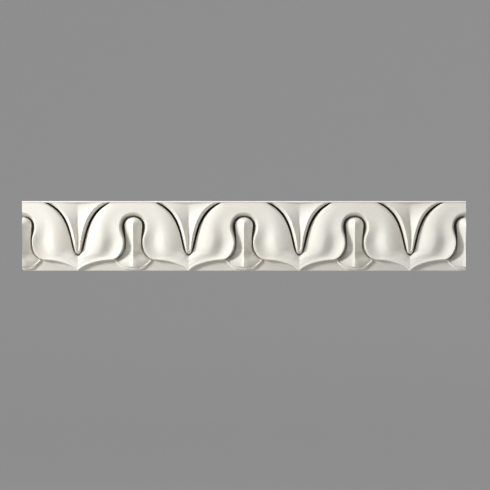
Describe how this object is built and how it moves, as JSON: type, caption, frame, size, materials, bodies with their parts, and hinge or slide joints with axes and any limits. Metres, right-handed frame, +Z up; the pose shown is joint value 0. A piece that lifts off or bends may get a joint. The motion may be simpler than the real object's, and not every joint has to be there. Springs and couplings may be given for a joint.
{
  "type": "leaf-and-tongue moulding",
  "caption": "Straight cast plaster moulding length with a flat back: split leaves hang from a top fillet, a hollow dart fills each split, and ridged tongues stand under the arches.",
  "frame": {"origin": "the middle of the flat back, where the moulding lies against the wall", "axes": "+X along the moulding, to the right as seen from the front; +Y into the wall, so the carved front faces -Y; +Z up, towards the edge that the leaves hang from"},
  "size_m": [0.636, 0.032, 0.1],
  "materials": {
    "plaster": "satin"
  },
  "bodies": {
    "root": {"leaf_and_tongue_moulding": "plaster"}
  },
  "joints": []
}
